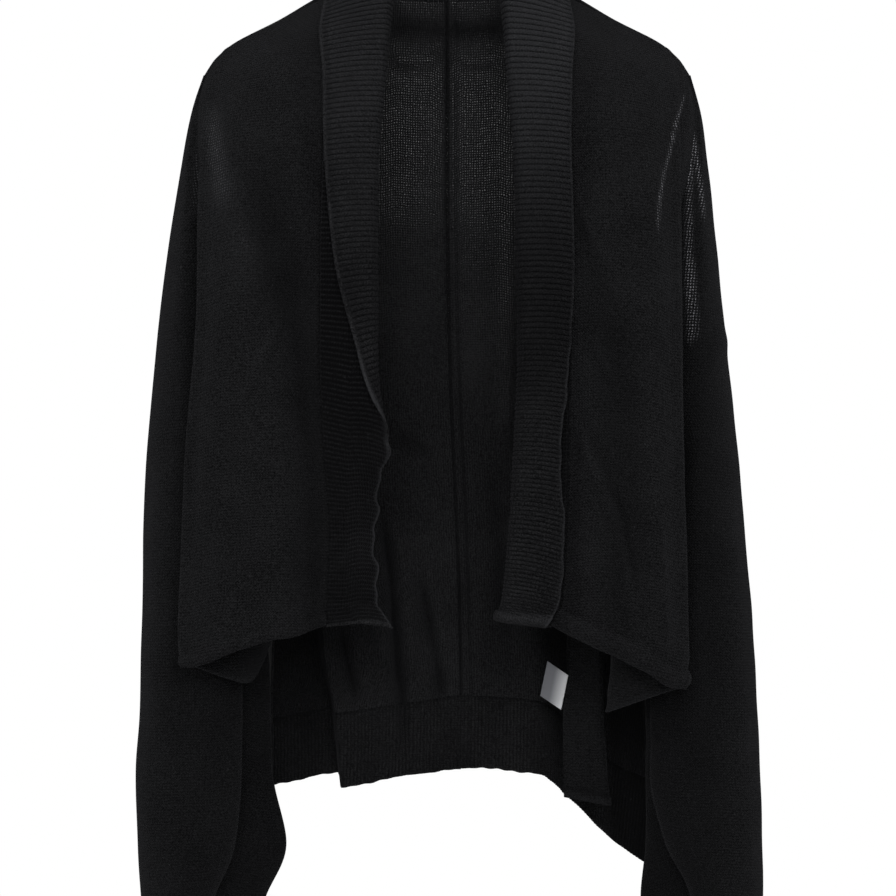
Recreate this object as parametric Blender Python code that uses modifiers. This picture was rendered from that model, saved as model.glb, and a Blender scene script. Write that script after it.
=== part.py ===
"""Open-front cardigan in fine knit, hollow and held at the neck.

World frame: metres, +Z up, the front faces -Y and the wearer's left is +X.
The origin is the point between the two shoulder points of the neck, where the garment is held up.
Each piece is a thin sheet, smoothed through rows of points worked out from its sections, and given its
thickness with Solidify. Sections are in millimetres, with x counted outward from the middle on both sides.
"""
import math
from collections import namedtuple

import bpy
import numpy as np

MM = 0.001

# Driving dimensions, in millimetres
KNIT_WALL = 2.0          # body and sleeve cloth
RIB_WALL = 2.6           # ribbed band
LABEL_WALL = 0.8
SEAM_GAP = 0.3           # between neighbouring pieces
SEAM_EASE = 0.8          # added at each edge where two walls meet at an angle
CENTRE_EASE = 0.15       # added at the backs' centre edges
TURN_WIDTH = 9.0         # size of the soft turn at the side of a front
TURN_DEPTH = 11.0
BAND_TURN_RADIUS = 5.0   # where the band turns outward
PLEAT_TURN = 7.0         # half circle at the edge of the side pleat
ACROSS_STEPS = 2         # quads between two neighbouring points of a section
DOWN_STEPS = 2           # quads between two neighbouring sections
BAND_STEPS = 9           # quads across a band
LEFT = 1
RIGHT = -1

# Colours of the cloths
KNIT_COLOUR = (0.012, 0.012, 0.013)
RIB_COLOUR = (0.014, 0.014, 0.016)
LABEL_COLOUR = (0.8, 0.8, 0.82)
CLOTH_ROUGHNESS = 0.9

# Columns of the nets that guide the slope of the piece beside them
BEND = 6                 # of a front: the bend behind its turn
NEAR_EDGE = 4            # of a back half: the point next to its side edge
FORE_FOLD = 1            # of a sleeve: the inner fold of its front layer
REAR_FOLD = 7            # of a sleeve: the inner fold of its back layer

# Armhole from the shoulder tip down to the underarm, shared by front, back and sleeve. The sleeve's edge
# lies a little further out where its walls turn back beside those of the body.
Armhole = namedtuple("Armhole", "z x x_sleeve y_front y_back")
ARMHOLE = {
    LEFT: [
        Armhole(-74, 203, 206, -8, 8),
        Armhole(-106, 204, 204, -15, 15),
        Armhole(-146, 200, 200, -27, 29),
        Armhole(-204, 189, 189, -34, 42),
        Armhole(-274, 182, 182, -38, 50),
        Armhole(-348, 174, 174, -34, 44),
        Armhole(-400, 164, 168, -4, 4),
    ],
    RIGHT: [
        Armhole(-74, 203, 206, -8, 8),
        Armhole(-106, 205, 205, -15, 15),
        Armhole(-146, 204, 204, -27, 29),
        Armhole(-204, 196, 196, -34, 42),
        Armhole(-274, 189, 189, -38, 50),
        Armhole(-348, 180, 180, -34, 44),
        Armhole(-400, 164, 168, -4, 4),
    ],
}
UNDERARM = 6             # row of the sections where body and sleeve part

# Side seam from just below the underarm to the hem, a straight line on each side
SideSeam = namedtuple("SideSeam", "z_top x_top y_top z_low x_low y_low")
SIDE_SEAM = {
    LEFT: SideSeam(-470, 157, 18, -672, 170, 62),
    RIGHT: SideSeam(-470, 143, 12, -672, 150, 62),
}

# Sections of a front, from the shoulder ridge down to the hem: its seam with the band, the soft turn at its
# side, the bend behind the turn, and the height of its hidden edge. crown is how far the middle of the panel
# stands forward, and fold is how sharply it turns, from 0 to 1.
Front = namedtuple("Front", "x_seam y_seam z_seam x_turn y_turn z_turn x_bend y_bend z_bend "
                            "z_edge crown fold")
FRONT = {
    LEFT: [
        Front(76, 0, 4, 184, 0, -50, 193, -3, -60, -74, 0, 0.0),
        Front(86, -40, -34, 189, -30, -92, 200, -20, -99, -106, 8, 0.2),
        Front(95, -64, -82, 190, -50, -134, 194, -37, -140, -146, 9, 0.6),
        Front(99, -78, -150, 189, -66, -195, 182, -46, -200, -204, 10, 1.0),
        Front(100, -82, -230, 189, -73, -268, 172, -50, -271, -274, 11, 1.0),
        Front(99, -84, -310, 189, -76, -345, 164, -50, -346, -348, 12, 1.0),
        Front(98, -84, -380, 191, -77, -405, 158, -42, -402, -400, 12, 1.0),
        Front(96, -83, -450, 194, -78, -488, 148, -42, -488, -488, 13, 1.0),
        Front(92, -82, -506, 195, -79, -548, 136, -42, -554, -552, 13, 1.0),
        Front(84, -82, -526, 193, -79, -577, 130, -42, -598, -592, 13, 1.0),
    ],
    RIGHT: [
        Front(76, 0, 4, 184, 0, -50, 193, -3, -60, -74, 0, 0.0),
        Front(86, -40, -34, 199, -30, -92, 203, -20, -99, -106, 8, 0.2),
        Front(96, -64, -82, 201, -50, -134, 202, -37, -140, -146, 9, 0.6),
        Front(101, -78, -150, 202, -66, -195, 191, -46, -200, -204, 10, 1.0),
        Front(103, -82, -230, 202, -73, -268, 180, -50, -271, -274, 12, 1.0),
        Front(103, -84, -310, 208, -76, -345, 170, -50, -346, -348, 13, 1.0),
        Front(100, -84, -380, 212, -77, -400, 164, -44, -400, -400, 14, 1.0),
        Front(95, -83, -450, 215, -78, -476, 169, -46, -478, -480, 14, 1.0),
        Front(97, -82, -506, 217, -79, -532, 166, -46, -538, -515, 13, 1.0),
        Front(98, -82, -526, 215, -79, -558, 163, -46, -574, -538, 13, 1.0),
    ],
}

# Sections of a back half, from the neckline and shoulder down to the top of the hem rib, and the rib's lower
# edge as the last row: the centre back seam, four points across, and the height of the side edge.
Back = namedtuple("Back", "x0 y0 z0 x1 y1 z1 x2 y2 z2 x3 y3 z3 x4 y4 z4 z_edge")
BACK = {
    LEFT: [
        Back(0, 56, -3, 40, 48, -1, 76, 1, 4, 140, 1, -27, 184, 1, -50, -74),
        Back(0, 68, -48, 48, 66, -52, 90, 60, -60, 130, 50, -74, 165, 38, -88, -106),
        Back(0, 76, -98, 52, 77, -102, 95, 74, -110, 135, 66, -120, 168, 52, -132, -146),
        Back(0, 81, -168, 54, 83, -170, 98, 84, -176, 138, 78, -184, 168, 64, -195, -204),
        Back(1, 82, -250, 56, 85, -252, 100, 89, -256, 138, 87, -262, 168, 72, -268, -274),
        Back(3, 80, -330, 60, 84, -332, 100, 92, -336, 138, 94, -340, 168, 78, -344, -348),
        Back(6, 77, -400, 64, 80, -400, 102, 94, -402, 140, 98, -404, 170, 82, -406, -400),
        Back(9, 74, -470, 68, 76, -474, 106, 95, -482, 142, 99, -490, 173, 83, -496, -490),
        Back(11, 71, -538, 72, 72, -542, 108, 94, -556, 144, 99, -574, 175, 84, -588, -580),
        Back(12, 69, -592, 76, 68, -597, 110, 92, -624, 146, 98, -654, 176, 84, -666, -655),
        Back(11, 67, -653, 76, 62, -658, 108, 90, -684, 146, 97, -714, 177, 84, -725, -712),
    ],
    RIGHT: [
        Back(0, 56, -3, 40, 48, -1, 76, 1, 4, 140, 1, -27, 184, 1, -50, -74),
        Back(0, 68, -48, 48, 66, -52, 90, 60, -60, 130, 50, -74, 165, 38, -88, -106),
        Back(0, 76, -98, 52, 76, -102, 95, 72, -110, 135, 64, -120, 170, 52, -132, -146),
        Back(0, 81, -168, 54, 80, -170, 98, 80, -176, 138, 76, -184, 174, 64, -195, -204),
        Back(-1, 82, -250, 54, 80, -252, 100, 82, -256, 138, 84, -262, 176, 72, -268, -274),
        Back(-3, 80, -330, 55, 76, -332, 102, 80, -336, 136, 88, -340, 170, 80, -344, -348),
        Back(-6, 77, -400, 58, 70, -400, 106, 74, -402, 128, 92, -404, 158, 84, -406, -400),
        Back(-9, 74, -470, 62, 62, -474, 107, 62, -478, 116, 94, -484, 152, 86, -490, -490),
        Back(-11, 71, -538, 66, 56, -542, 104, 54, -546, 111, 95, -552, 152, 86, -560, -556),
        Back(-12, 69, -592, 62, 52, -602, 93, 50, -606, 99, 94, -604, 152, 86, -614, -612),
        Back(-11, 67, -653, 60, 50, -663, 87, 48, -668, 93, 93, -660, 152, 86, -670, -668),
    ],
}
HEM_RIB_TOP = 9          # row of the back's sections where the rib begins

# Sections of a sleeve, from the shoulder tip to the wrist: its outer outline, its depth, the inner folds of
# its front and back layers, and, below the underarm, where its two edges meet between those folds.
Sleeve = namedtuple("Sleeve", "z x_out depth x_fore x_rear x_seam")
SLEEVE = {
    LEFT: [
        Sleeve(-69, 202, 5, 204, 204, None),
        Sleeve(-102, 209, 11, 206, 206, None),
        Sleeve(-146, 215, 26, 205, 205, None),
        Sleeve(-204, 222, 37, 197, 199, None),
        Sleeve(-274, 229, 42, 190, 192, None),
        Sleeve(-348, 237, 43, 182, 184, None),
        Sleeve(-400, 242, 42, 176, 177, None),
        Sleeve(-450, 246, 42, 171, 170, 178),
        Sleeve(-590, 256, 40, 168, 167, 178),
        Sleeve(-650, 259, 38, 168, 167, 179),
        Sleeve(-705, 261, 36, 180, 167, 190),
        Sleeve(-755, 262, 33, 202, 162, 210),
        Sleeve(-800, 260, 30, 206, 168, 213),
    ],
    RIGHT: [
        Sleeve(-69, 202, 5, 204, 204, None),
        Sleeve(-102, 211, 11, 207, 207, None),
        Sleeve(-146, 219, 26, 208, 208, None),
        Sleeve(-204, 229, 37, 202, 202, None),
        Sleeve(-274, 238, 42, 196, 196, None),
        Sleeve(-348, 245, 43, 188, 186, None),
        Sleeve(-400, 249, 42, 180, 170, None),
        Sleeve(-450, 251, 42, 176, 158, 184),
        Sleeve(-590, 254, 40, 169, 148, 184),
        Sleeve(-650, 257, 38, 170, 147, 187),
        Sleeve(-712, 256, 36, 176, 135, 194),
        Sleeve(-755, 253, 33, 193, 152, 206),
        Sleeve(-800, 250, 30, 202, 168, 214),
    ],
}
TUCK_HALF_GAP = 1.6      # half the distance between the two edges of a sleeve in its tuck

# Sections of a band, from the hem up the front, over the neck point and round to the centre back: how far it
# runs from its seam before it turns outward, its whole width, how far its free edge bows back, how far the
# turned part spreads, and the directions from the seam to the turn (to_*) and out of its face (face_*).
Band = namedtuple("Band", "under width bow spread to_x to_y to_z face_x face_y face_z")
BAND = {
    LEFT: [
        Band(40, 90, 0, 0, -1.0, -0.10, 0.0, 0.0, -1.0, 0.0),
        Band(43, 96, 0, 0, -1.0, -0.10, 0.0, 0.0, -1.0, 0.0),
        Band(41, 92, 0, 0, -1.0, -0.10, 0.0, 0.0, -1.0, 0.0),
        Band(39, 86, 0, 0, -1.0, -0.10, 0.0, 0.0, -1.0, 0.0),
        Band(37, 88, 0, 0, -1.0, -0.10, 0.0, 0.0, -1.0, 0.0),
        Band(39, 95, 0, 0, -1.0, -0.10, 0.0, 0.0, -1.0, 0.0),
        Band(40, 96, 0, 0, -1.0, -0.10, 0.0, 0.0, -1.0, 0.0),
        Band(42, 104, 0, 2, -1.0, -0.16, 0.04, 0.0, -1.0, 0.05),
        Band(40, 108, 0, 6, -0.95, -0.30, 0.20, 0.15, -0.95, 0.30),
        Band(42, 106, 0, 16, -0.62, -0.18, 0.76, 0.80, -0.30, 0.52),
    ],
    RIGHT: [
        Band(70, 54, 6, 0, -1.0, -0.06, 0.0, 0.0, -1.0, 0.0),
        Band(70, 41, 20, 0, -1.0, -0.06, 0.0, 0.0, -1.0, 0.0),
        Band(70, 36, 22, 0, -1.0, -0.06, 0.0, 0.0, -1.0, 0.0),
        Band(48, 52, 6, 0, -1.0, -0.06, 0.0, 0.0, -1.0, 0.0),
        Band(42, 66, 0, 0, -1.0, -0.10, 0.0, 0.0, -1.0, 0.0),
        Band(42, 86, 0, 0, -1.0, -0.10, 0.0, 0.0, -1.0, 0.0),
        Band(41, 94, 0, 0, -1.0, -0.10, 0.0, 0.0, -1.0, 0.0),
        Band(42, 102, 0, 2, -1.0, -0.16, 0.04, 0.0, -1.0, 0.05),
        Band(40, 108, 0, 6, -0.95, -0.30, 0.20, 0.15, -0.95, 0.30),
        Band(42, 106, 0, 16, -0.62, -0.18, 0.76, 0.80, -0.30, 0.52),
    ],
}
# The same columns round the back of the neck, after the seam's own place, on both sides
NeckBand = namedtuple("NeckBand", "x y z band")
NECK_BAND = [
    NeckBand(58, 23, 3, Band(42, 100, 0, 10, -0.35, -0.25, 0.90, 0.75, 0.60, 0.30)),
    NeckBand(40, 48, -1, Band(42, 96, 0, 8, -0.10, -0.30, 0.95, 0.30, 0.92, 0.25)),
    NeckBand(0.3, 56, -3, Band(42, 96, 0, 8, 0.0, -0.32, 0.95, 0.0, 0.95, 0.30)),
]

# The side pleat, a narrow strip that hangs inside at the left side seam: its front edges and its depth
Pleat = namedtuple("Pleat", "z_in x_in z_out x_out y")
PLEAT = [
    Pleat(-430, 112, -432, 140, 18),
    Pleat(-500, 106, -502, 132, 20),
    Pleat(-556, 103, -560, 130, 22),
    Pleat(-610, 97, -616, 131, 22),
    Pleat(-674, 98, -681, 136, 22),
]
PLEAT_BACK_WIDTH = 26.0

# Care label, sewn at the pleat's inner edge: its corners in x and z, and its depth
LABEL_CORNERS = [(101.5, -572), (84, -560), (78, -589), (95.5, -601)]
LABEL_Y = 24.2


def cloth_material(name, colour, roughness):
    """A piece's own Principled material in the colour of its cloth."""
    result = bpy.data.materials.new(name)
    result.use_nodes = True
    shader = result.node_tree.nodes["Principled BSDF"]
    shader.inputs["Base Color"].default_value = (*colour, 1.0)
    shader.inputs["Roughness"].default_value = roughness
    shader.inputs["Metallic"].default_value = 0.0
    return result


def steps_between(points, steps, before, after):
    """Smooth curve through points along axis 0. Each coordinate turns only at a given point: its slope there
    is the harmonic mean of the two steps beside it, or level where they point opposite ways. before and after
    say that the first and the last point only guide the slope and aren't drawn."""
    span = points[1:] - points[:-1]
    first, second = span[:-1], span[1:]
    total = np.where(first + second == 0, 1.0, first + second)
    slope = np.where(first * second > 0, 2 * first * second / total, 0.0)
    slope = np.concatenate([span[:1], slope, span[-1:]])
    start = 1 if before else 0
    end = len(points) - (2 if after else 1)
    t = (np.arange(steps) / steps).reshape((steps,) + (1,) * (points.ndim - 1))
    pieces = []
    for i in range(start, end):
        pieces.append(
            (2 * t**3 - 3 * t**2 + 1) * points[i] + (t**3 - 2 * t**2 + t) * slope[i]
            + (-2 * t**3 + 3 * t**2) * points[i + 1] + (t**3 - t**2) * slope[i + 1]
        )
    pieces.append(points[end:end + 1])
    return np.concatenate(pieces)


def smooth_sheet(net, before=None, after=None, above=None, below=None):
    """Grid of points smoothed through a net of rows and columns. before and after are neighbouring columns,
    above and below neighbouring rows, which guide the slopes at seams."""
    columns = [net]
    if before is not None:
        columns.insert(0, before[:, None])
    if after is not None:
        columns.append(after[:, None])
    wide = np.swapaxes(np.concatenate(columns, axis=1), 0, 1)
    rows = steps_between(wide, ACROSS_STEPS, before is not None, after is not None)
    rows = np.swapaxes(rows, 0, 1)
    if above is not None:
        rows = np.concatenate([rows_like(above, before, after), rows])
    if below is not None:
        rows = np.concatenate([rows, rows_like(below, before, after)])
    return steps_between(rows, DOWN_STEPS, above is not None, below is not None)


def rows_like(row, before, after):
    """A guiding row, smoothed across in the same way as the net's rows."""
    ends = [row]
    if before is not None:
        ends.insert(0, 2 * row[:1] - row[1:2])
    if after is not None:
        ends.append(2 * row[-1:] - row[-2:-1])
    return steps_between(np.concatenate(ends), ACROSS_STEPS, before is not None, after is not None)[None]


def pull_in(grid, sides, eased=()):
    """Moves the grid's named border points in by half a seam gap, and the eased ones a little further."""
    grid = grid.copy()
    borders = {
        "left": (np.s_[:, 0], np.s_[:, 1]),
        "right": (np.s_[:, -1], np.s_[:, -2]),
        "top": (np.s_[0], np.s_[1]),
        "bottom": (np.s_[-1], np.s_[-2]),
    }
    for side in [*sides, *eased]:
        edge, inner = borders[side]
        step = grid[inner] - grid[edge]
        length = np.linalg.norm(step, axis=-1, keepdims=True)
        grid[edge] += step / length * (SEAM_GAP / 2 + (SEAM_EASE if side in eased else 0.0))
    return grid


def sheet_object(name, grid, side, wall, colour, collection, outward=1, roughness=CLOTH_ROUGHNESS):
    """A cloth sheet of quads from a grid in millimetres, mirrored for the right side, with its thickness."""
    rows, columns = grid.shape[:2]
    points = grid.reshape(-1, 3) * MM * np.array([side, 1.0, 1.0])
    index = np.arange(rows * columns).reshape(rows, columns)
    corners = [index[:-1, :-1], index[:-1, 1:], index[1:, 1:], index[1:, :-1]]
    faces = np.stack(corners, axis=-1).reshape(-1, 4)
    if side * outward > 0:
        faces = faces[:, ::-1]
    mesh = bpy.data.meshes.new(name)
    mesh.from_pydata(points.tolist(), [], faces.tolist())
    mesh.materials.append(cloth_material(name + "_cloth", colour, roughness))
    mesh.shade_smooth()
    piece = bpy.data.objects.new(name, mesh)
    collection.objects.link(piece)
    solid = piece.modifiers.new("Thickness", "SOLIDIFY")
    solid.thickness = wall * MM
    solid.offset = 0.0
    return piece


def seam_point(side, z):
    """The side seam's point at a height, below the underarm."""
    seam = SIDE_SEAM[side]
    t = (z - seam.z_top) / (seam.z_low - seam.z_top)
    return (seam.x_top + t * (seam.x_low - seam.x_top), seam.y_top + t * (seam.y_low - seam.y_top), z)


def front_net(side):
    """Net of a front: seam, two points of the panel, lip, turn, behind the turn, bend and edge."""
    net = []
    for i, row in enumerate(FRONT[side]):
        seam = np.array([row.x_seam, row.y_seam, row.z_seam], float)
        turn = np.array([row.x_turn, row.y_turn, row.z_turn], float)
        bend = np.array([row.x_bend, row.y_bend, row.z_bend], float)
        if i <= UNDERARM:
            hole = ARMHOLE[side][i]
            edge = np.array([hole.x, hole.y_front, hole.z], float)
        else:
            edge = np.array(seam_point(side, row.z_edge))
        forward = np.array([0.0, -row.crown, 0.0])
        sharp = row.fold
        lip = turn + sharp * np.array([-TURN_WIDTH, -4.0, 0.0]) + (1 - sharp) * 0.08 * (seam - turn)
        behind = turn + sharp * np.array([-5.0, TURN_DEPTH, 0.0]) + (1 - sharp) * 0.4 * (bend - turn)
        net.append([
            seam,
            seam + 0.35 * (turn - seam) + 0.85 * forward,
            seam + 0.7 * (turn - seam) + forward,
            lip,
            turn,
            behind,
            bend,
            edge,
        ])
    return np.array(net)


def back_net(side):
    """Net of a back half: the centre seam, four points across and the side edge."""
    net = []
    for i, row in enumerate(BACK[side]):
        if i <= UNDERARM:
            hole = ARMHOLE[side][i]
            edge = (hole.x, hole.y_back, hole.z)
        else:
            edge = seam_point(side, row.z_edge)
        net.append([
            (row.x0, row.y0, row.z0),
            (row.x1, row.y1, row.z1),
            (row.x2, row.y2, row.z2),
            (row.x3, row.y3, row.z3),
            (row.x4, row.y4, row.z4),
            edge,
        ])
    return np.array(net, float)


def sleeve_net(side):
    """Net of a sleeve, round from its front edge over the outer outline to its back edge."""
    net = []
    for i, row in enumerate(SLEEVE[side]):
        if i <= UNDERARM:
            hole = ARMHOLE[side][i]
            front_edge = (hole.x_sleeve, hole.y_front, hole.z)
            back_edge = (hole.x_sleeve, hole.y_back, hole.z)
        else:
            front_edge = (row.x_seam, -TUCK_HALF_GAP, row.z)
            back_edge = (row.x_seam, TUCK_HALF_GAP, row.z)
        z_inner = (row.z + front_edge[2]) / 2
        if i <= UNDERARM:
            y_fore, y_rear = (front_edge[1] - row.depth) / 2, (back_edge[1] + row.depth) / 2
        else:
            y_fore, y_rear = -0.6 * row.depth, 0.6 * row.depth
        net.append([
            front_edge,
            (row.x_fore, y_fore, z_inner),
            (row.x_fore + 0.45 * (row.x_out - row.x_fore), -row.depth, row.z),
            (row.x_out - 0.12 * (row.x_out - row.x_fore), -0.55 * row.depth, row.z),
            (row.x_out, 0.0, row.z),
            (row.x_out - 0.12 * (row.x_out - row.x_rear), 0.55 * row.depth, row.z),
            (row.x_rear + 0.45 * (row.x_out - row.x_rear), row.depth, row.z),
            (row.x_rear, y_rear, z_inner),
            back_edge,
        ])
    return np.array(net, float)


def band_grid(side):
    """Grid of a band: straight from its seam to the turn, half a circle, then back over itself."""
    seams = [(row.x_seam, row.y_seam, row.z_seam) for row in reversed(FRONT[side])]
    rows = list(BAND[side])
    for neck in NECK_BAND:
        seams.append((neck.x, neck.y, neck.z))
        rows.append(neck.band)
    table = np.concatenate([np.array(seams, float), np.array(rows, float)], axis=1)
    table = steps_between(table, DOWN_STEPS, False, False)
    seam, under, width, bow, spread = table[:, :3], table[:, 3], table[:, 4], table[:, 5], table[:, 6]
    to_turn = table[:, 7:10] / np.linalg.norm(table[:, 7:10], axis=1, keepdims=True)
    face = table[:, 10:13] - to_turn * np.sum(table[:, 10:13] * to_turn, axis=1, keepdims=True)
    face /= np.linalg.norm(face, axis=1, keepdims=True)
    s = np.linspace(0.0, 1.0, BAND_STEPS + 1)[None, :] * width[:, None]
    under, width, bow, spread = under[:, None], width[:, None], bow[:, None], spread[:, None]
    radius = BAND_TURN_RADIUS
    angle = np.clip((s - under) / radius, 0.0, math.pi)
    past = np.clip(s - under - math.pi * radius, 0.0, None)
    left_over = np.clip(width - under - math.pi * radius, 1.0, None)
    along = np.minimum(s, under) + radius * np.sin(angle) - past
    off = radius * (1 - np.cos(angle)) + spread * past / left_over - bow * (s / width) ** 2
    along += SEAM_GAP + SEAM_EASE
    return seam[:, None] + to_turn[:, None] * along[..., None] + face[:, None] * off[..., None]


def pleat_grid():
    """Grid of the side pleat: its front layer outward, round a small turn and back behind itself."""
    table = steps_between(np.array(PLEAT, float), DOWN_STEPS, False, False)
    z_in, x_in, z_out, x_out, y = (table[:, [i]] for i in range(5))
    radius = PLEAT_TURN / 2
    front = np.linspace(0.0, 1.0, 4)[None, :]
    front_x = x_in + front * (x_out - radius - x_in)
    front_y = y + 4.0 * (1 - front)
    turn = np.radians(np.array([[-45.0, 0.0, 45.0]]))
    turn_x = x_out - radius + radius * np.cos(turn)
    turn_y = y + radius + radius * np.sin(turn)
    back = np.linspace(0.0, 1.0, 3)[None, :]
    back_x = x_out - radius - back * PLEAT_BACK_WIDTH
    back_y = y + 2 * radius + 6.0 * back
    x = np.concatenate([front_x, turn_x, back_x], axis=1)
    y = np.concatenate([front_y, turn_y, back_y], axis=1)
    z = z_in + (z_out - z_in) * np.clip((x - x_in) / (x_out - x_in), 0.0, 1.0)
    return np.stack([x, y, z], axis=-1)


def along_armhole(grid, column, rows):
    """Puts a column of the grid on the armhole's own curve, shared by the pieces that meet there."""
    curve = steps_between(np.array(rows, float), DOWN_STEPS, False, False)
    grid[:len(curve), column] = curve


def build_side(side, name, collection):
    """Front, back half, hem rib, sleeve and band of one side. The sleeve is cut across at the underarm, where it
    closes to a tube."""
    front, back, sleeve = front_net(side), back_net(side), sleeve_net(side)
    holes = ARMHOLE[side]

    rows = len(front)
    beside = np.where(np.arange(rows)[:, None] <= UNDERARM, sleeve[:rows, FORE_FOLD], back[:rows, NEAR_EDGE])
    grid = smooth_sheet(front, after=beside)
    along_armhole(grid, -1, [(hole.x, hole.y_front, hole.z) for hole in holes])
    grid = pull_in(grid, ["left"], ["right", "top"])
    sheet_object("front_" + name, grid, side, KNIT_WALL, KNIT_COLOUR, collection)

    body = back[:HEM_RIB_TOP + 1]
    rows = len(body)
    beside = np.where(np.arange(rows)[:, None] <= UNDERARM, sleeve[:rows, REAR_FOLD], front[:rows, BEND])
    grid = smooth_sheet(body, after=beside, below=back[HEM_RIB_TOP + 1])
    along_armhole(grid, -1, [(hole.x, hole.y_back, hole.z) for hole in holes])
    grid = pull_in(grid, ["left"], ["right", "top", "bottom"])
    grid[:, 0, 0] += CENTRE_EASE
    sheet_object("back_" + name, grid, side, KNIT_WALL, KNIT_COLOUR, collection, outward=-1)

    hem = back[HEM_RIB_TOP:]
    beside = hem[:, -1] + front[HEM_RIB_TOP, BEND] - back[HEM_RIB_TOP, -1]
    grid = smooth_sheet(hem, after=beside, above=back[HEM_RIB_TOP - 1])
    grid = pull_in(grid, [], ["left", "top"])
    sheet_object("hem_rib_" + name, grid, side, KNIT_WALL, RIB_COLOUR, collection, outward=-1)

    in_armhole = np.arange(len(sleeve))[:, None] <= UNDERARM
    before = np.where(in_armhole, padded(front[:, BEND], sleeve), sleeve[:, REAR_FOLD])
    after = np.where(in_armhole, padded(back[:, NEAR_EDGE], sleeve), sleeve[:, FORE_FOLD])
    grid = smooth_sheet(sleeve, before=before, after=after)
    along_armhole(grid, 0, [(hole.x_sleeve, hole.y_front, hole.z) for hole in holes])
    along_armhole(grid, -1, [(hole.x_sleeve, hole.y_back, hole.z) for hole in holes])
    grid = pull_in(grid, [], ["left", "right", "top"])
    cut = UNDERARM * DOWN_STEPS
    upper, lower = pull_in(grid[:cut + 1], [], ["bottom"]), pull_in(grid[cut:], [], ["top"])
    sheet_object("sleeve_upper_" + name, upper, side, KNIT_WALL, KNIT_COLOUR, collection)
    sheet_object("sleeve_lower_" + name, lower, side, KNIT_WALL, KNIT_COLOUR, collection)

    grid = band_grid(side)
    sheet_object("band_" + name, grid, side, RIB_WALL, RIB_COLOUR, collection, outward=-1)


def padded(column, like):
    """A column of points brought to the length of another net by repeating its last point."""
    rows = np.minimum(np.arange(len(like)), len(column) - 1)
    return column[rows]


def build_label(collection):
    """Blank care label, a small flat panel."""
    corners = np.array([(x, LABEL_Y, z) for x, z in LABEL_CORNERS], float)
    top, bottom = corners[[1, 0]], corners[[2, 3]]
    grid = np.stack([top, (top + bottom) / 2, bottom])
    sheet_object("care_label", grid, LEFT, LABEL_WALL, LABEL_COLOUR, collection, roughness=0.5)


def main():
    for item in list(bpy.data.objects):
        bpy.data.objects.remove(item, do_unlink=True)
    collection = bpy.data.collections.new("cardigan")
    bpy.context.scene.collection.children.link(collection)
    for side, name in ((LEFT, "left"), (RIGHT, "right")):
        build_side(side, name, collection)
    sheet_object("side_pleat", pleat_grid(), LEFT, KNIT_WALL, KNIT_COLOUR, collection)
    build_label(collection)


main()
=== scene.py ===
"""Looks of the open-front cardigan: every piece is a sheet of knit, worked out on a grid from the sections
of its solid, with its creases, ribs and stitches."""
from collections import namedtuple
from functools import partial
from math import pi, tau

import bpy
import numpy as np
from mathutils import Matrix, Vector


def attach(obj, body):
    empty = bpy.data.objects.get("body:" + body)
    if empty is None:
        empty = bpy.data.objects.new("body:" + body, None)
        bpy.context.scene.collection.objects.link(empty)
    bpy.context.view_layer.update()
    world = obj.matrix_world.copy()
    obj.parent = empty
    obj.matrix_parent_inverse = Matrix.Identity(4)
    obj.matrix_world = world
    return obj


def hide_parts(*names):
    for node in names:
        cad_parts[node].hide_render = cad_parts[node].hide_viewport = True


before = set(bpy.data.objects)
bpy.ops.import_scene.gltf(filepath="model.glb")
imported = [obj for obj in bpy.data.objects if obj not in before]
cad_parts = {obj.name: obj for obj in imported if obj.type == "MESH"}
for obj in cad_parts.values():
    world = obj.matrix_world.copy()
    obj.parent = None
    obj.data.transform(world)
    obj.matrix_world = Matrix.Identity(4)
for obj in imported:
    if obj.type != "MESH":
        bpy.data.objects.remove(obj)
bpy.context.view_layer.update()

MM = 0.001
LEFT = 1
RIGHT = -1


def both_sides(kind, left, right):
    """The rows of a table on each side, as records of one kind."""
    return {LEFT: [kind(*row) for row in left], RIGHT: [kind(*row) for row in right]}


# Columns of the nets that guide the slope of the piece beside them
BEND = 6                 # of a front: the bend behind its turn
NEAR_EDGE = 4            # of a back half: the point next to its side edge
FORE_FOLD = 1            # of a sleeve: the inner fold of its front layer
REAR_FOLD = 7            # of a sleeve: the inner fold of its back layer

# Armhole from the shoulder tip down to the underarm, shared by front, back and sleeve. The sleeve's edge
# lies a little further out where its walls turn back beside those of the body.
Armhole = namedtuple("Armhole", "z x x_sleeve y_front y_back")
ARMHOLE = both_sides(Armhole, [
    (-74, 201.5, 201.5, -0.2, 0.8),
    (-106, 204, 204, -15, 15),
    (-146, 200, 200, -27, 29),
    (-204, 189, 189, -34, 42),
    (-274, 182, 182, -38, 50),
    (-348, 174, 174, -34, 44),
    (-400, 164, 168, -4, 4),
], [
    (-74, 201.5, 201.5, -0.2, 0.8),
    (-106, 205, 205, -15, 15),
    (-146, 204, 204, -27, 29),
    (-204, 196, 196, -34, 42),
    (-274, 189, 189, -38, 50),
    (-348, 180, 180, -34, 44),
    (-400, 164, 168, -4, 4),
])
UNDERARM = 6             # row of the sections where body and sleeve part

# Side seam from just below the underarm to the hem, a straight line on each side
SideSeam = namedtuple("SideSeam", "z_top x_top y_top z_low x_low y_low")
SIDE_SEAM = {
    LEFT: SideSeam(-470, 157, 18, -672, 170, 62),
    RIGHT: SideSeam(-470, 143, 12, -672, 150, 62),
}

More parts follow.
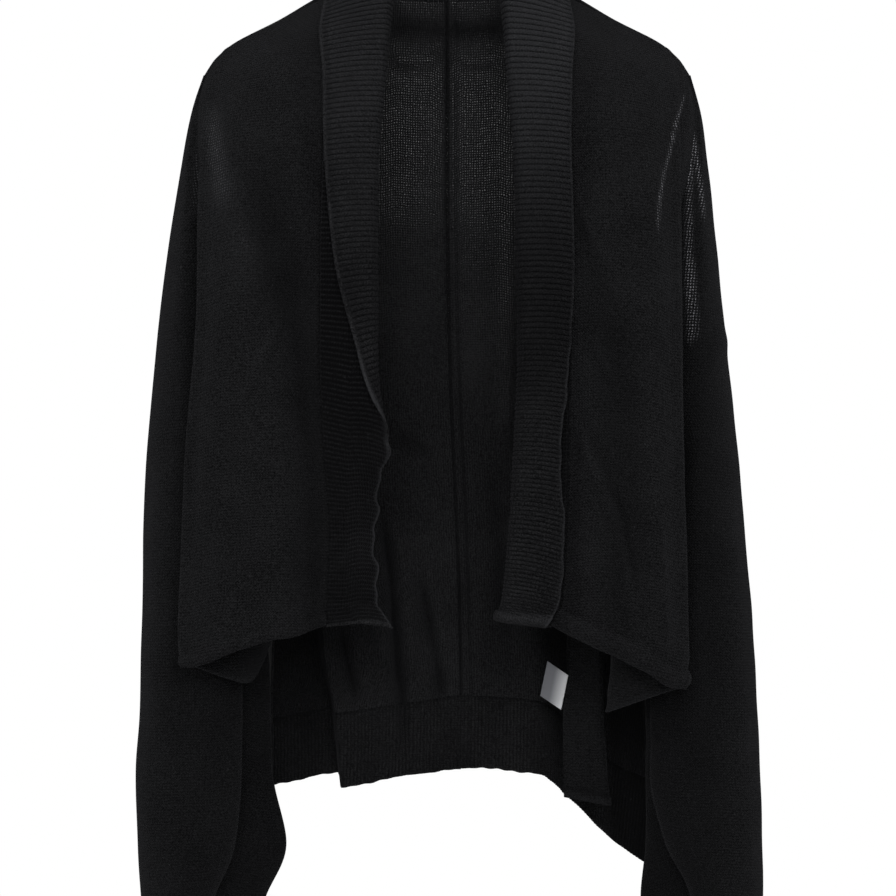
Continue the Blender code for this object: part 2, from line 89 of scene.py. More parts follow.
# Sections of a front, from the shoulder ridge down to the hem: its seam with the band, the soft turn at its
# side, the bend behind the turn, and the height of its hidden edge. crown is how far the middle of the
# panel stands forward, and fold is how sharply it turns, from 0 to 1.
Front = namedtuple(
    "Front", "x_seam y_seam z_seam x_turn y_turn z_turn x_bend y_bend z_bend z_edge crown fold")
FRONT = both_sides(Front, [
    (76, 0, 4, 183, 0, -50.5, 192.5, 0, -60, -74, 0, 0),
    (86, -40, -34, 189, -30, -92, 200, -20, -99, -106, 8, 0.2),
    (95, -64, -82, 190, -50, -134, 194, -37, -140, -146, 9, 0.6),
    (99, -78, -150, 189, -66, -195, 182, -46, -200, -204, 10, 1),
    (100, -82, -230, 189, -73, -268, 172, -50, -271, -274, 11, 1),
    (99, -84, -310, 189, -76, -345, 164, -50, -346, -348, 12, 1),
    (98, -84, -380, 191, -77, -405, 158, -42, -402, -400, 12, 1),
    (96, -83, -450, 194, -78, -488, 148, -42, -488, -488, 13, 1),
    (92, -82, -506, 195, -79, -548, 136, -42, -554, -552, 13, 1),
    (84, -82, -526, 193, -79, -577, 130, -42, -598, -592, 13, 1),
], [
    (76, 0, 4, 183, 0, -50.5, 192.5, 0, -60, -74, 0, 0),
    (86, -40, -34, 199, -30, -92, 203, -20, -99, -106, 8, 0.2),
    (96, -64, -82, 201, -50, -134, 202, -37, -140, -146, 9, 0.6),
    (101, -78, -150, 202, -66, -195, 191, -46, -200, -204, 10, 1),
    (103, -82, -230, 202, -73, -268, 180, -50, -271, -274, 12, 1),
    (103, -84, -310, 208, -76, -345, 170, -50, -346, -348, 13, 1),
    (100, -84, -380, 212, -77, -400, 164, -44, -400, -400, 14, 1),
    (95, -83, -450, 215, -78, -476, 169, -46, -478, -480, 14, 1),
    (97, -82, -506, 217, -79, -532, 166, -46, -538, -515, 13, 1),
    (98, -82, -526, 215, -79, -558, 163, -46, -574, -538, 13, 1),
])

# Sections of a back half, from the neckline and shoulder down to the top of the hem rib, and the rib's
# lower edge as the last row: the centre back seam, four points across, and the height of the side edge.
Back = namedtuple("Back", "x0 y0 z0 x1 y1 z1 x2 y2 z2 x3 y3 z3 x4 y4 z4 z_edge")
BACK_TOP = [
    (0, 56, -3, 40, 48, -1, 76, 1, 4, 140, 1, -27, 183, 1, -50.5, -74),
    (0, 68, -48, 48, 66, -52, 90, 60, -60, 130, 50, -74, 165, 38, -88, -106),
]
BACK = both_sides(Back, [
    *BACK_TOP,
    (0, 76, -98, 52, 77, -102, 95, 74, -110, 135, 66, -120, 168, 52, -132, -146),
    (0, 81, -168, 54, 83, -170, 98, 84, -176, 138, 78, -184, 168, 64, -195, -204),
    (1, 82, -250, 56, 85, -252, 100, 89, -256, 138, 87, -262, 168, 72, -268, -274),
    (3, 80, -330, 60, 84, -332, 100, 92, -336, 138, 94, -340, 168, 78, -344, -348),
    (6, 77, -400, 64, 80, -400, 102, 94, -402, 140, 98, -404, 170, 82, -406, -400),
    (9, 74, -470, 68, 76, -474, 106, 95, -482, 142, 99, -490, 173, 83, -496, -490),
    (11, 71, -538, 72, 72, -542, 108, 94, -556, 144, 99, -574, 175, 84, -588, -580),
    (12, 69, -592, 76, 68, -597, 110, 92, -624, 146, 98, -654, 176, 84, -666, -655),
    (11, 67, -653, 76, 62, -658, 108, 90, -685, 146, 97, -721, 177, 84, -741, -728),
], [
    *BACK_TOP,
    (0, 76, -98, 52, 76, -102, 95, 72, -110, 135, 64, -120, 170, 52, -132, -146),
    (0, 81, -168, 54, 80, -170, 98, 80, -176, 138, 76, -184, 174, 64, -195, -204),
    (-1, 82, -250, 54, 80, -252, 100, 82, -256, 138, 84, -262, 176, 72, -268, -274),
    (-3, 80, -330, 55, 76, -332, 102, 80, -336, 136, 88, -340, 170, 80, -344, -348),
    (-6, 77, -400, 58, 70, -400, 106, 74, -402, 128, 92, -404, 158, 84, -406, -400),
    (-9, 74, -470, 62, 62, -474, 107, 62, -478, 116, 94, -484, 152, 86, -490, -490),
    (-11, 71, -538, 66, 56, -542, 104, 54, -546, 111, 95, -552, 152, 86, -560, -556),
    (-12, 69, -592, 62, 52, -602, 93, 50, -606, 99, 94, -604, 152, 86, -614, -612),
    (-11, 67, -653, 60, 50, -663, 87, 48, -668, 93, 93, -660, 152, 86, -670, -668),
])
HEM_RIB_TOP = 9          # row of the back's sections where the rib begins
ALLOWANCE = 1.4          # how far the centre seam's allowance stands into the garment, on the left half
ALLOWANCE_WIDTH = 7.6

# Sections of a sleeve, from the shoulder tip to the wrist: its outer outline, its depth, the inner folds of
# its front and back layers, and, below the underarm, where its two edges meet between those folds.
Sleeve = namedtuple("Sleeve", "z x_out depth x_fore x_rear x_seam", defaults=[None])
SLEEVE = both_sides(Sleeve, [
    (-73, 201.4, 2.5, 201, 201),
    (-102, 209, 11, 206, 206),
    (-146, 215, 26, 205, 205),
    (-204, 222, 37, 197, 199),
    (-274, 229, 42, 190, 192),
    (-348, 237, 43, 182, 184),
    (-400, 242, 42, 176, 177),
    (-450, 246, 42, 171, 170, 178),
    (-590, 256, 40, 168, 167, 178),
    (-650, 259, 38, 168, 167, 179),
    (-705, 261, 36, 180, 167, 190),
    (-755, 262, 33, 202, 162, 210),
    (-800, 260, 30, 206, 168, 213),
], [
    (-73, 201.4, 2.5, 201, 201),
    (-102, 211, 11, 207, 207),
    (-146, 219, 26, 208, 208),
    (-204, 229, 37, 202, 202),
    (-274, 238, 42, 196, 196),
    (-348, 245, 43, 188, 186),
    (-400, 249, 42, 180, 170),
    (-450, 251, 42, 176, 158, 184),
    (-590, 254, 40, 169, 148, 184),
    (-650, 257, 38, 170, 147, 187),
    (-712, 256, 36, 176, 135, 194),
    (-755, 253, 33, 193, 152, 206),
    (-800, 250, 30, 202, 168, 214),
])
TUCK_HALF_GAP = 1.6      # half the distance between the two edges of a sleeve in its tuck

# Sections of a band, from the hem up the front, over the neck point and round to the centre back: how far
# it runs from its seam before it turns outward, its whole width, how far its free edge bows back, how far
# the turned part spreads, and the directions from the seam to the turn (to_*) and out of its face (face_*).
Band = namedtuple("Band", "under width bow spread to_x to_y to_z face_x face_y face_z")
ASIDE = (-1, -0.10, 0, 0, -1, 0)           # the directions of a band that lies on the chest
LOW_ASIDE = (-1, -0.06, 0, 0, -1, 0)
BAND_TOP = [
    (40, 108, 0, 6, -0.95, -0.30, 0.20, 0.15, -0.95, 0.30),
    (42, 106, 0, 16, -0.62, -0.18, 0.76, 0.80, -0.30, 0.52),
]
BAND = both_sides(Band, [
    (40, 90, 0, 0, *ASIDE),
    (43, 99, 0, 0, *ASIDE),
    (41, 95, 0, 0, *ASIDE),
    (39, 86, 0, 0, *ASIDE),
    (37, 88, 0, 0, *ASIDE),
    (39, 95, 0, 0, *ASIDE),
    (40, 96, 0, 0, *ASIDE),
    (42, 104, 0, 2, -1, -0.16, 0.04, 0, -1, 0.05),
    *BAND_TOP,
], [
    (70, 54, 6, 0, *LOW_ASIDE),
    (70, 41, 20, 0, *LOW_ASIDE),
    (70, 36, 22, 0, *LOW_ASIDE),
    (48, 52, 6, 0, *LOW_ASIDE),
    (42, 66, 0, 0, *ASIDE),
    (42, 86, 0, 0, *ASIDE),
    (41, 94, 0, 0, *ASIDE),
    (42, 102, 0, 2, -1, -0.16, 0.04, 0, -1, 0.05),
    *BAND_TOP,
])
# The same columns round the back of the neck, after the seam's own place, on both sides
NeckBand = namedtuple("NeckBand", "x y z band")
NECK_BAND = [
    NeckBand(58, 23, 3, Band(42, 100, 0, 10, -0.35, -0.25, 0.90, 0.75, 0.60, 0.30)),
    NeckBand(40, 48, -1, Band(42, 96, 0, 8, -0.10, -0.30, 0.95, 0.30, 0.92, 0.25)),
    NeckBand(0.3, 56, -3, Band(42, 96, 0, 8, 0, -0.32, 0.95, 0, 0.95, 0.30)),
]

# The side pleat, a narrow strip that hangs inside at the left side seam: its front edges and its depth
Pleat = namedtuple("Pleat", "z_in x_in z_out x_out y")
PLEAT = [
    Pleat(-430, 112, -432, 140, 18),
    Pleat(-500, 106, -502, 132, 20),
    Pleat(-556, 103, -560, 130, 22),
    Pleat(-610, 97, -616, 131, 22),
    Pleat(-674, 98, -681, 136, 22),
]
PLEAT_BACK_WIDTH = 26.0
PLEAT_HEM = 9.5          # how far up its hem is sewn

# Care label, sewn at the pleat's inner edge: its corners in x and z, and its depth
LABEL_CORNERS = [(101.5, -572), (84, -560), (78, -589), (95.5, -601)]
LABEL_Y = 24.2

TURN_WIDTH = 9.0         # size of the soft turn at the side of a front
TURN_DEPTH = 11.0
BAND_TURN_RADIUS = 5.0   # where the band turns outward
BAND_COLUMNS = 34
BAND_STEP = 0.6          # between the rows of a band's grid
PANEL_STEP = (2.4, 2.6)  # of the grids of fronts and backs, across and down
SLEEVE_STEP = (3.0, 3.4)
HEM_RIB_STEP = (0.4, 3.0)
PLEAT_TURN = 7.0         # half circle at the edge of the side pleat

# How thick the cloth of each slot is
WALL = {"knit": 1.6, "hem_rib": 1.6, "band_rib": 1.9, "label": 0.3}
BAND_RIB_HEIGHT = 1.9
NECK_OVERLAP = 2.0      # how far the band reaches down behind the back's neck edge
BAND_ARCH = 2.6         # how much lower a rib lies at the band's edge than at the middle of its turned part
HEM_RIB_PITCH = 3.0
HEM_RIB_HEIGHT = 0.7

# Pitch of the band's ribs at a length up from the hem: they are pressed together below and stretched above
BAND_RIB_PITCH = {
    LEFT: [(0, 3.0), (60, 3.2), (150, 3.5), (185, 3.7), (225, 4.4), (330, 4.6), (720, 4.7)],
    RIGHT: [(0, 3.3), (60, 3.6), (140, 3.9), (220, 4.1), (330, 4.2), (720, 4.3)],
}

# Rolled hem of a front: how far up it reaches and how far it stands out
Roll = namedtuple("Roll", "width height")
HEM_ROLL = {LEFT: Roll(15.0, 3.4), RIGHT: Roll(9.0, 1.8)}

# Free edge of a band: how far it waves and between which lengths up from the hem, how wide its bead is, how
# much the middle of its lower edge rises, the height and width of its rolled hem, how much and where its
# ribs slant, the painted highlight on the lower edge and on the ribs near the neck, and the painted shade on
# the middle
BandEdge = namedtuple(
    "BandEdge", "wave wave_from wave_to bead rise roll roll_width slant slant_at edge_nap top_nap pressed")
BAND_EDGE = {
    LEFT: BandEdge(0.8, 5, 260, 0.9, 6, 3, 10, 0.16, 30, 0.2, 0.44, 0.48),
    RIGHT: BandEdge(2.8, 10, 175, 1.5, 3, 0.4, 3, 0.24, 170, 0.46, 0.20, 0.18),
}

# Soft folds: the path in x and z, the half width of the bell, its height toward the outer face and how much
# of the path's length each end takes to fade
Fold = namedtuple("Fold", "path width height fade")
FRONT_FOLDS = both_sides(Fold, [
    ([(116, -200), (124, -253), (132, -294), (139, -359), (141, -408), (139, -590)], 18, -7, 0.26),
    ([(96, -150), (111, -200), (127, -229), (138, -250)], 3.5, 1.6, 0.4),
    ([(94, -343), (115, -391), (132, -434), (143, -468), (153, -532), (155, -560)], 4, 2.6, 0.3),
    ([(102, -343), (123, -391), (142, -440), (158, -520)], 5, -2, 0.3),
    ([(111, -283), (127, -315), (141, -343)], 3, 1.6, 0.4),
    ([(176, -120), (172, -220), (178, -330), (176, -480)], 12, 2.4, 0.3),
    ([(164, -420), (172, -480), (178, -560)], 5, 2.2, 0.4),
], [
    ([(158, -120), (149, -165), (137, -219), (127, -253), (115, -290), (107, -330), (103, -400), (101, -590)],
         20, -8, 0.2),
    ([(131, -275), (144, -302), (158, -333), (171, -350)], 3, 1.8, 0.35),
    ([(126, -268), (139, -298), (152, -330)], 4, -1.6, 0.4),
    ([(140, -262), (152, -284), (164, -300)], 2.6, 1.3, 0.4),
    ([(180, -150), (184, -260), (190, -400), (194, -500)], 14, 2.4, 0.3),
    ([(176, -420), (184, -490), (188, -540)], 5, 1.8, 0.4),
])
BACK_FOLDS = both_sides(Fold, [
    ([(-4, -29), (20, -31), (52, -27)], 7, 5, 0.3),
    ([(-4, -50), (24, -53), (54, -50)], 8, -3.5, 0.3),
    ([(10, -460), (6, -530), (3, -592)], 8, 4, 0.4),
    ([(60, -120), (72, -260), (66, -420)], 18, 3, 0.4),
    ([(36, -380), (46, -470), (52, -585)], 8, 4, 0.4),
    ([(54, -400), (62, -480), (66, -570)], 8, -3.5, 0.4),
    ([(20, -500), (24, -560), (22, -600)], 9, -3, 0.4),
    ([(126, -200), (118, -330), (120, -480)], 14, 2.6, 0.4),
], [
    ([(-4, -29), (23, -30), (54, -27)], 7, 5, 0.3),
    ([(-4, -50), (24, -53), (54, -50)], 8, -3.5, 0.3),
    ([(60, -352), (54, -363), (30, -375), (2, -394)], 3.2, 2.2, 0.35),
    ([(60, -366), (50, -378), (28, -390), (8, -404)], 6, -3.5, 0.4),
    ([(56, -425), (47, -490), (43, -540), (37, -600), (34, -655)], 4.5, 9, 0.2),
    ([(66, -440), (56, -520), (50, -600)], 6, -5, 0.4),
    ([(40, -440), (34, -520), (28, -600)], 6, -4, 0.4),
    ([(24, -480), (16, -520), (8, -560), (3, -610)], 5, 7, 0.3),
    ([(10, -480), (6, -530), (2, -580)], 5, -3, 0.4),
    ([(92, -525), (84, -561), (74, -600)], 4.5, 6, 0.3),
    ([(126, -200), (118, -330), (116, -440)], 14, 2.6, 0.4),
])
SLEEVE_FOLDS = both_sides(Fold, [
    ([(204, -308), (213, -293), (226, -272)], 4, -1.6, 0.4),
    ([(206, -330), (224, -300), (240, -280)], 6, 1.4, 0.4),
    ([(196, -420), (214, -520), (220, -640), (226, -760)], 12, -2.6, 0.3),
    ([(230, -380), (238, -520), (240, -690)], 12, 2.2, 0.3),
    ([(186, -610), (204, -680), (226, -740)], 8, -2, 0.4),
], [
    ([(206, -150), (214, -230), (222, -320)], 8, 1.8, 0.4),
    ([(198, -420), (212, -540), (218, -660), (224, -770)], 12, -2.6, 0.3),
    ([(226, -360), (234, -500), (238, -680)], 12, 2.2, 0.3),
    ([(180, -600), (196, -670), (214, -730)], 8, -2, 0.4),
])

# Places where the cloth is stretched thin, in the same columns, with how open it gets as the height. The light
# through their open stitches is painted into the colour; only the back's stitches also let it through.
THIN_FRONT = both_sides(Fold, [
    ([(197, -86), (193, -99), (188, -113), (181, -141), (175, -161), (171, -186), (170, -212)], 1, 1.2, 0.16),
], [
    ([(192, -92), (191, -116), (188, -140), (184, -166), (178, -196)], 7.5, 0.22, 0.3),
    ([(188, -120), (176, -180), (163, -232), (156, -276)], 12, 0.05, 0.4),
])
THIN_SLEEVE = both_sides(Fold, [
    ([(200, -105), (200, -140), (199, -180), (198, -235), (200, -300)], 2.4, 1.3, 0.06),
    ([(200, -220), (203, -262), (205, -298)], 2.2, 0.7, 0.2),
    ([(202, -118), (208, -166), (211, -200)], 1.6, 1.2, 0.2),
], [
    ([(199, -106), (205, -150), (208, -200)], 3, 0.25, 0.3),
])
YOKE = [                 # across the top of the back
    ([(-4, -60), (20, -62), (54, -60)], 9, 0.14, 0.2),
    ([(-4, 4), (20, 4), (54, 6)], 12, 0.25, 0.1),
    ([(-4, -27), (20, -29), (54, -27)], 6, -0.1, 0.2),
]
THIN_BACK = both_sides(Fold, [
    ([(24, 150), (28, 20), (32, -60), (36, -180), (44, -400)], 60, 0.33, 0.5),
    ([(30, -150), (36, -210), (42, -270)], 40, -0.08, 0.5),
    ([(49, -110), (50, -180), (50, -260), (48, -420)], 6, 0.14, 0.3),
    *YOKE,
], [
    ([(24, 150), (28, 20), (32, -60), (36, -180), (40, -370)], 58, 0.33, 0.5),
    ([(30, -150), (36, -210), (42, -270)], 40, -0.08, 0.5),
    *YOKE,
])

# Painted shade at the bottom of fold troughs: the deeper the trough the darker, by each piece's share below
FULL_RECESS = 6.0        # depth of a fold whose bottom is as dark as its recess shade says
FRONT_RECESS_SHADE = {LEFT: 0.38, RIGHT: 0.5}
BACK_RECESS_SHADE = 0.6
TURN_SHADE = 0.45        # how dark a band's turn is
# Painted shade in the hollows beside the sleeves: where it begins across, and how dark it gets
Hollow = namedtuple("Hollow", "x depth")
HOLLOW = {LEFT: Hollow(132.0, 0.7), RIGHT: Hollow(100.0, 0.3)}    # where the hollows beside the sleeves begin
SLEEVE_SHADE = {LEFT: 0.42, RIGHT: 0.26}    # how dark a sleeve is toward the body
THIN_PATCH_LIGHT = {LEFT: 0.1, RIGHT: 0.5}    # how much painted light through the stretched cloth a front's thin places get, in the nap colour
CLOTH_START = {LEFT: 0.0, RIGHT: 0.731}    # where a side's stitches start, in metres
FLECK_COLOUR = (0.25, 0.25, 0.27, 1.0)
# Colour of pale nap, also used as painted highlight on lit edges, hems and rib crests
NAP_HIGHLIGHT_COLOUR = (0.045, 0.046, 0.050, 1.0)
LIT_COLOUR = (0.30, 0.30, 0.32, 1.0)        # of the light through an open stitch

CAMERA_PLACE = (0.0, -3.0, -0.3818)
FOCAL_LENGTH = 145.2
LENS_SHIFT = 0.0011
FLOOR_Z = -1.35
SURROUND = 0.14          # strength of the white surround as light
FLOOR_GLOW = 0.36        # keeps the floor pale for the camera, away from the lights
WHITE = (1.0, 1.0, 1.0, 1.0)
LIT_POINT = (0.0, 0.0, -0.35)    # what the lights face
LIGHTS = [
    ("left_light", (-1.7, -0.8, 0.8), 0.8, 17.0),
    ("right_light", (1.7, -0.8, 0.8), 0.8, 17.0),
    ("front_light", (0.0, -2.5, 0.3), 1.2, 26.0),
    ("back_light", (0.0, 2.6, 0.5), 1.2, 30.0),
]


def smooth(points, at):
    """Smooth curve through points along axis 0, read at the fractional rows in at. Each coordinate turns
    only at a given point: its slope there is the harmonic mean of the two steps beside it, or level where
    they point opposite ways. Between two points it is the cubic with those slopes."""
    step = points[1:] - points[:-1]
    first, second = step[:-1], step[1:]
    total = np.where(first + second == 0, 1.0, first + second)
    slope = np.where(first * second > 0, 2 * first * second / total, 0.0)
    slope = np.concatenate([step[:1], slope, step[-1:]])
    at = np.asarray(at, float)
    start = np.clip(np.floor(at).astype(int), 0, len(points) - 2)
    t = (at - start).reshape((-1,) + (1,) * (points.ndim - 1))
    return (
        (2 * t**3 - 3 * t**2 + 1) * points[start] + (t**3 - 2 * t**2 + t) * slope[start]
        + (3 * t**2 - 2 * t**3) * points[start + 1] + (t**3 - t**2) * slope[start + 1]
    )


def walked(points, axis=0):
    """Length walked along an axis to each point, from nought at the first."""
    steps = np.linalg.norm(np.diff(points, axis=axis), axis=-1)
    return np.concatenate([np.zeros_like(steps.take([0], axis)), np.cumsum(steps, axis=axis)], axis=axis)


def even_rows(net, spacing):
    """Fractional rows of a net about spacing apart, measured on the mean of its columns."""
    length = walked(net).reshape(len(net), -1).mean(axis=1)
    count = max(2, int(round(length[-1] / spacing)))
    return np.interp(np.linspace(0.0, length[-1], count + 1), length, np.arange(len(net)))


def flanked(block, first, last, axis):
    """A block of points between its neighbouring rows or columns, those there are."""
    first, last = ([] if line is None else [np.expand_dims(line, axis)] for line in (first, last))
    return np.concatenate([*first, block, *last], axis=axis)


def framed(row, before, after):
    """A guiding row, carried on straight at the ends that have a neighbour."""
    if row is None:
        return None
    first = None if before is None else 2 * row[0] - row[1]
    return flanked(row, first, None if after is None else 2 * row[-1] - row[-2], 0)


def sheet_grid(net, spacing, before=None, after=None, above=None, below=None):
    """Grid of points smoothed through a net, spacing apart across and down. before and after are
    neighbouring columns, above and below neighbouring rows, which guide the slopes at the seams and aren't
    drawn."""
    across = even_rows(np.swapaxes(net, 0, 1), spacing[0]) + (before is not None)
    down = even_rows(net, spacing[1]) + (above is not None)
    wide = flanked(net, before, after, 1)
    wide = flanked(wide, framed(above, before, after), framed(below, before, after), 0)
    return smooth(np.swapaxes(smooth(np.swapaxes(wide, 0, 1), across), 0, 1), down), down


def along_armhole(grid, down, column, side, x, y):
    """Puts a column of the grid on the armhole's own curve, shared by the pieces that meet there."""
    on_hole = down <= UNDERARM
    rows = [(getattr(hole, x), getattr(hole, y), hole.z) for hole in ARMHOLE[side]]
    grid[on_hole, column] = smooth(np.array(rows, float), down[on_hole])


def outward(grid, turned):
    """Unit normals of a grid: the cross product of its two directions, on the side that turned names."""
    normal = np.cross(np.gradient(grid, axis=1), np.gradient(grid, axis=0)) * turned
    return normal / np.maximum(np.linalg.norm(normal, axis=-1, keepdims=True), 1e-9)


def bell(distance, width):
    """Bell curve of a distance, 1 at nought."""
    return np.exp(-(distance / width) ** 2)


def ramp(value, start, end):
    """Smooth step from 0 at start to 1 at end."""
    t = np.clip((value - start) / (end - start), 0.0, 1.0)
    return t * t * (3 - 2 * t)


def fold_height(grid, folds):
    """Height of soft folds over a grid: the sum over folds of height times a bell of the distance, seen
    from the front, to the fold's path. Each fold fades out toward the two ends of its path and waves a
    little along it."""
    x, z = grid[..., 0], grid[..., 2]
    total = np.zeros_like(x)
    for fold in folds:
        path = np.array(fold.path, float)
        span = path[1:] - path[:-1]
        length = np.linalg.norm(span, axis=1)
        to_x, to_z = x[..., None] - path[:-1, 0], z[..., None] - path[:-1, 1]
        t = np.clip((to_x * span[:, 0] + to_z * span[:, 1]) / length**2, 0, 1)
        gap = np.hypot(to_x - t * span[:, 0], to_z - t * span[:, 1])
        near = gap.argmin(axis=-1)[..., None]
        start = np.concatenate([[0], np.cumsum(length)[:-1]])
        along = (start[near] + np.take_along_axis(t, near, -1) * length[near])[..., 0]
        gap = np.take_along_axis(gap, near, -1)[..., 0]
        share = along / length.sum()
        fade = ramp(share, 0, fold.fade) * ramp(1 - share, 0, fold.fade)
        waves = 0.18 * np.sin(along / 17) + 0.12 * np.sin(along / 7.3 + 1)
        uneven = 1 + min(1, 12 / fold.width) * waves
        total += fold.height * fade * uneven * bell(gap, fold.width)
    return total


def slow_waves(grid, size, seed):
    """Soft unevenness of hanging cloth between -1 and 1: a sum of six sine waves in x, y and z, about size
    long, with directions and phases drawn from a seeded generator."""
    draw = np.random.default_rng(seed)
    total = np.zeros(grid.shape[:-1])
    for _ in range(6):
        direction = draw.normal(size=3)
        direction /= np.linalg.norm(direction)
        wave = size * draw.uniform(0.7, 1.6)
        total += np.sin(grid @ direction * tau / wave + draw.uniform(0, tau))
    return total / 6


def side_edge(side, i, y, z):
    """The side end of section i of the body: on the armhole, or on the side seam at a height below it."""
    if i <= UNDERARM:
        hole = ARMHOLE[side][i]
        return (hole.x, getattr(hole, y), hole.z)
    seam = SIDE_SEAM[side]
    t = (z - seam.z_top) / (seam.z_low - seam.z_top)
    return (seam.x_top + t * (seam.x_low - seam.x_top), seam.y_top + t * (seam.y_low - seam.y_top), z)


def front_net(side):
    """Net of a front: seam, two points of the panel, at shares of the way to the turn and forward by the crown,
    lip, turn, behind the turn, bend and edge. The sharper the fold, the nearer to the turn are its neighbours."""
    net = []
    for i, row in enumerate(FRONT[side]):
        seam, turn, bend = np.array(row[:9], float).reshape(3, 3)
        forward = np.array([0, -row.crown, 0])
        sharp = row.fold
        lip = turn + sharp * np.array([-TURN_WIDTH, -4, 0]) + (1 - sharp) * 0.08 * (seam - turn)
        behind = turn + sharp * np.array([-5, TURN_DEPTH, 0]) + (1 - sharp) * 0.4 * (bend - turn)
        panel = [seam, seam + 0.35 * (turn - seam) + 0.85 * forward, seam + 0.7 * (turn - seam) + forward]
        net.append([*panel, lip, turn, behind, bend, side_edge(side, i, "y_front", row.z_edge)])
    return np.array(net, float)


def back_net(side):
    """Net of a back half: the centre back seam, four points across and the side edge."""
    return np.array([[*np.reshape(row[:15], (5, 3)), side_edge(side, i, "y_back", row.z_edge)]
                     for i, row in enumerate(BACK[side])], float)


def sleeve_net(side):
    """Net of a sleeve, round from its front edge over the outer outline to its back edge. Each half has four
    points, at shares of its width and depth."""
    net = []
    for i, row in enumerate(SLEEVE[side]):
        halves = []
        for toward, x, y_name in ((-1, row.x_fore, "y_front"), (1, row.x_rear, "y_back")):
            if i <= UNDERARM:
                hole = ARMHOLE[side][i]
                edge = (hole.x_sleeve, getattr(hole, y_name), hole.z)
                y_fold = (edge[1] + toward * row.depth) / 2
            else:
                edge = (row.x_seam, toward * TUCK_HALF_GAP, row.z)
                y_fold = toward * 0.6 * row.depth
            wide = row.x_out - x
            halves.append([
                edge,
                (x, y_fold, (row.z + edge[2]) / 2),
                (x + 0.45 * wide, toward * row.depth, row.z),
                (row.x_out - 0.12 * wide, toward * 0.55 * row.depth, row.z),
            ])
        net.append([*halves[0], (row.x_out, 0, row.z), *reversed(halves[1])])
    return np.array(net, float)


def guide(net, by_hole, below):
    """A guiding column as long as a net: one column down to the underarm and another below it."""
    row = np.arange(len(net))
    by_hole, below = (column[np.minimum(row, len(column) - 1)] for column in (by_hole, below))
    return np.where(row[:, None] <= UNDERARM, by_hole, below)


def front_sheet(side):
    """A front, smoothed through its sections, and its nap, pale fibre and painted highlight along the hem's
    edge outside the panel: with the soft folds of its panel and the rolled hem, which stands out by a half
    circle's height over the roll's width, with a furrow and a soft swelling above."""
    front, back, sleeve = front_net(side), back_net(side), sleeve_net(side)
    beside = guide(front, sleeve[:, FORE_FOLD], back[:, NEAR_EDGE])
    grid, down = sheet_grid(front, PANEL_STEP, after=beside)
    along_armhole(grid, down, -1, side, "x", "y_front")
    face = outward(grid, -1)
    hem = HEM_ROLL[side]
    from_hem = walked(grid[::-1])[::-1]
    rolled = np.clip(1 - ((from_hem - hem.width / 2) / (hem.width / 2)) ** 2, 0, 1) ** 0.75
    rolled *= 1 + 0.25 * slow_waves(grid, 26, 11)
    above = bell(from_hem - hem.width - 3, 3) - 0.4 * bell(from_hem - hem.width - 12, 7)
    in_panel = (face[..., 1] < -0.2) * 1
    from_seam = walked(grid, 1)
    height = fold_height(grid, FRONT_FOLDS[side]) + 0.8 * slow_waves(grid, 95, 5)
    height *= in_panel * ramp(from_seam, 0, 18)
    height += hem.height * (rolled - 0.15 * above) * (0.3 + 0.7 * in_panel)
    grid[..., 2] -= 2.2 * slow_waves(grid, 30, 17) * ramp(-from_hem, -30, 0) * in_panel
    # Pale nap and painted highlight along the hem's edge outside the panel
    nap = 0.22 * bell(from_hem - 1, 1.6) * (1 - in_panel)
    return grid + face * height[..., None], nap


def back_sheet(side):
    """A back half down to the hem rib, smoothed through its sections, with its folds and the raised seam
    allowance along the centre."""
    front, back, sleeve = front_net(side), back_net(side), sleeve_net(side)
    body = back[:HEM_RIB_TOP + 1]
    beside = guide(body, sleeve[:, REAR_FOLD], front[:, BEND])
    grid, down = sheet_grid(body, PANEL_STEP, after=beside, below=back[HEM_RIB_TOP + 1])
    along_armhole(grid, down, -1, side, "x", "y_back")
    return grid + outward(grid, 1) * back_height(grid, side)[..., None]


def back_height(grid, side):
    """Height of the back's surface toward the rear: its folds, slow waves away from the side edge, and the
    seam allowance, a smooth step that is turned to the left half."""
    from_centre = walked(grid, 1)
    waves = 1.2 * slow_waves(grid, 110, 8) * ramp(from_centre, 4, 40)
    height = fold_height(grid, BACK_FOLDS[side]) + waves
    step = ramp(-from_centre, -ALLOWANCE_WIDTH - 0.8, -ALLOWANCE_WIDTH + 1)
    allowance = ALLOWANCE * step if side == LEFT else 0
    return height * ramp(from_centre, 0, 12) - allowance


def hollow_shade(grid, side):
    """Painted shade in the dark hollow beside the sleeve: how far a point lies into it, a smooth step outward
    times one downward, times how dark the hollow is painted."""
    hollow = HOLLOW[side]
    return hollow.depth * ramp(grid[..., 0], hollow.x, hollow.x + 14) * ramp(-grid[..., 2], 470, 540)


def hem_rib_sheet(side):
    """The back's hem rib: vertical ribs, whose height is a power of the sine of the distance across over
    the rib pitch, on the hem's own sheet with a wavy lower edge."""
    front, back = front_net(side), back_net(side)
    hem = back[HEM_RIB_TOP:]
    beside = hem[:, -1] + front[HEM_RIB_TOP, BEND] - back[HEM_RIB_TOP, -1]
    grid = sheet_grid(hem, HEM_RIB_STEP, after=beside, above=back[HEM_RIB_TOP - 1])[0]
    across = walked(grid, 1)
    share = np.linspace(0, 1, len(grid))[:, None]
    level = grid * [1, 1, 0]
    grid[..., 2] -= (2 * slow_waves(level, 34, 21) + 0.9 * slow_waves(level, 11, 4)) * share**2
    crest = np.abs(np.sin(across * pi / HEM_RIB_PITCH)) ** 0.7
    ribs = HEM_RIB_HEIGHT * crest * ramp(share, 0, 0.05)
    grid = grid + outward(grid, 1) * (back_height(grid, side) - ribs)[..., None]
    grid[..., 2] += 0.7 * ramp(-share, -0.03, 0)
    # The second value marks the rib's furrows: darker purl stitches and painted shade
    return grid, 1 - crest


